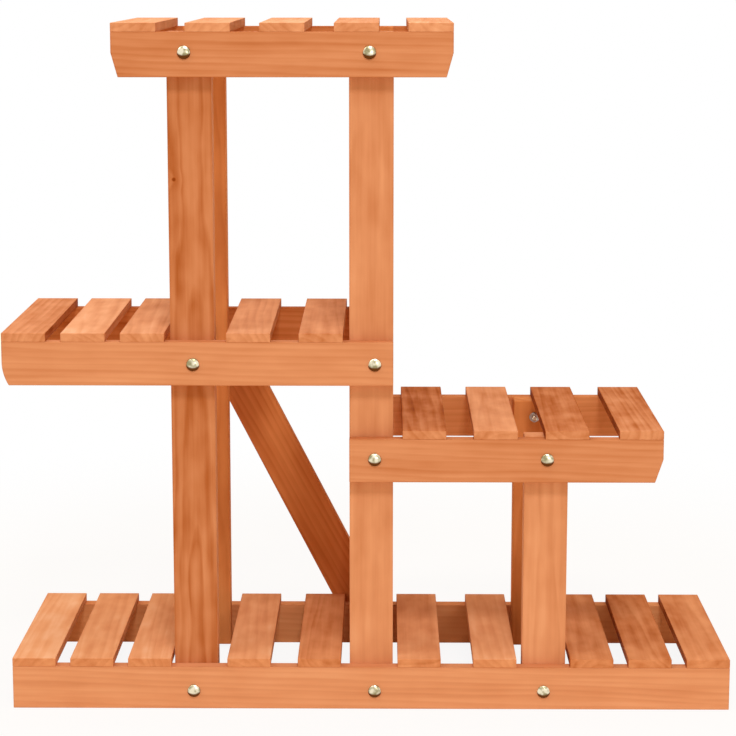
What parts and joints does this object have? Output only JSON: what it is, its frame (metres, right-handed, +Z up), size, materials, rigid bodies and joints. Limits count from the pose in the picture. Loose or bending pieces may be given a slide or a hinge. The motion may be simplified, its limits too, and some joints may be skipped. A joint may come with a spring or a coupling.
{
  "type": "tiered plant stand",
  "caption": "Wooden plant stand with slatted shelves at stepped heights, bolted to pairs of posts on a long slatted base, with a diagonal brace across the back.",
  "frame": {"origin": "centre of the bounding box, on the floor the base rails stand on", "axes": "+X along the stand from the high left shelf towards the lower right shelf, +Y from the front towards the braced back, +Z up"},
  "size_m": [0.833, 0.2722, 0.79],
  "materials": {
    "rail_pine": "clear-stained softwood, satin",
    "slat_pine": "clear-stained softwood, satin",
    "post_pine": "clear-stained softwood, satin",
    "brace_pine": "clear-stained softwood, satin",
    "bolt_yellow_zinc": "yellow zinc plated steel",
    "washer_zinc": "bright zinc plated steel",
    "nut_zinc": "bright zinc plated steel",
    "brad_steel": "galvanised wire"
  },
  "bodies": {
    "root": {"base_bolts": "bolt_yellow_zinc", "base_brads": "brad_steel", "base_front_rail": "rail_pine", "base_nuts": "nut_zinc", "base_rear_rail": "rail_pine", "base_slat_1": "slat_pine", "base_slat_10": "slat_pine", "base_slat_2": "slat_pine", "base_slat_3": "slat_pine", "base_slat_4": "slat_pine", "base_slat_5": "slat_pine", "base_slat_6": "slat_pine", "base_slat_7": "slat_pine", "base_slat_8": "slat_pine", "base_slat_9": "slat_pine", "base_washers": "washer_zinc", "diagonal_brace": "brace_pine", "left_front_post": "post_pine", "left_rear_post": "post_pine", "left_shelf_bolts": "bolt_yellow_zinc", "left_shelf_brads": "brad_steel", "left_shelf_front_rail": "rail_pine", "left_shelf_nuts": "nut_zinc", "left_shelf_rear_rail": "rail_pine", "left_shelf_slat_1": "slat_pine", "left_shelf_slat_2": "slat_pine", "left_shelf_slat_3": "slat_pine", "left_shelf_slat_4": "slat_pine", "left_shelf_slat_5": "slat_pine", "left_shelf_washers": "washer_zinc", "middle_front_post": "post_pine", "middle_rear_post": "post_pine", "right_front_post": "post_pine", "right_rear_post": "post_pine", "right_shelf_bolts": "bolt_yellow_zinc", "right_shelf_brads": "brad_steel", "right_shelf_front_rail": "rail_pine", "right_shelf_nuts": "nut_zinc", "right_shelf_rear_rail": "rail_pine", "right_shelf_slat_1": "slat_pine", "right_shelf_slat_2": "slat_pine", "right_shelf_slat_3": "slat_pine", "right_shelf_slat_4": "slat_pine", "right_shelf_washers": "washer_zinc", "top_shelf_bolts": "bolt_yellow_zinc", "top_shelf_brads": "brad_steel", "top_shelf_front_rail": "rail_pine", "top_shelf_nuts": "nut_zinc", "top_shelf_rear_rail": "rail_pine", "top_shelf_slat_1": "slat_pine", "top_shelf_slat_2": "slat_pine", "top_shelf_slat_3": "slat_pine", "top_shelf_slat_4": "slat_pine", "top_shelf_slat_5": "slat_pine", "top_shelf_washers": "washer_zinc"}
  },
  "joints": []
}
